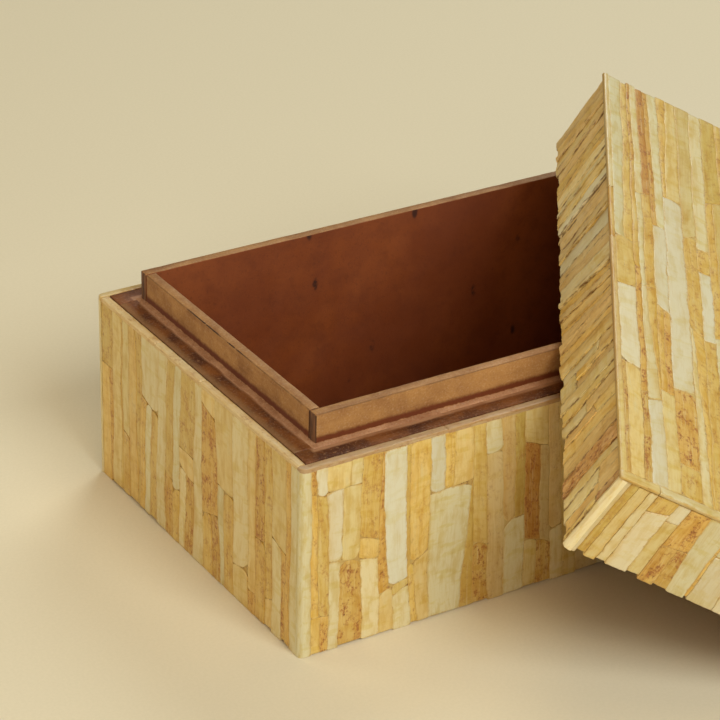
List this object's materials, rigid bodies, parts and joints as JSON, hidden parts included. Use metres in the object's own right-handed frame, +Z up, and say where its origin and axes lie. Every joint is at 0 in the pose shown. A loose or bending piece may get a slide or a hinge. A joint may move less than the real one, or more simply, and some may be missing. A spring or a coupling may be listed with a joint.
{
  "type": "keepsake box",
  "caption": "Rectangular wooden keepsake box covered with slivers set in resin, with a loose lid that lifts off and leans on the box's front.",
  "frame": {"origin": "middle of the box's underside", "axes": "+X along the box's length to its right, +Y from its front to its back, +Z up"},
  "size_m": [0.2828, 0.2797, 0.138],
  "materials": {
    "slivers": "satin, bone-like slivers in resin",
    "edging": "satin",
    "carcass_wood": "dark stained",
    "liner_wood": "bare edge, tan, matt",
    "floor_wood": "reddish brown stain",
    "lid_wood": "reddish brown stain"
  },
  "bodies": {
    "box": {"carcass_front": "carcass_wood", "carcass_back": "carcass_wood", "carcass_left": "carcass_wood", "carcass_right": "carcass_wood", "base_board": "carcass_wood", "liner_front": "liner_wood", "liner_back": "liner_wood", "liner_left": "liner_wood", "liner_right": "liner_wood", "liner_floor": "floor_wood", "cover_front": "slivers", "cover_back": "slivers", "cover_left": "slivers", "cover_right": "slivers", "edging_front": "edging", "edging_back": "edging", "edging_left": "edging", "edging_right": "edging"},
    "lid": {"lid_board_front": "lid_wood", "lid_board_back": "lid_wood", "lid_board_left": "lid_wood", "lid_board_right": "lid_wood", "lid_board_top": "lid_wood", "lid_cover_top": "slivers", "lid_cover_front": "slivers", "lid_cover_back": "slivers", "lid_cover_left": "slivers", "lid_cover_right": "slivers"}
  },
  "joints": [
    {"name": "lid_lift", "type": "slide", "parent": "box", "child": "lid", "axis": [0, 0, 1], "range_m": [0, 0.1]}
  ]
}
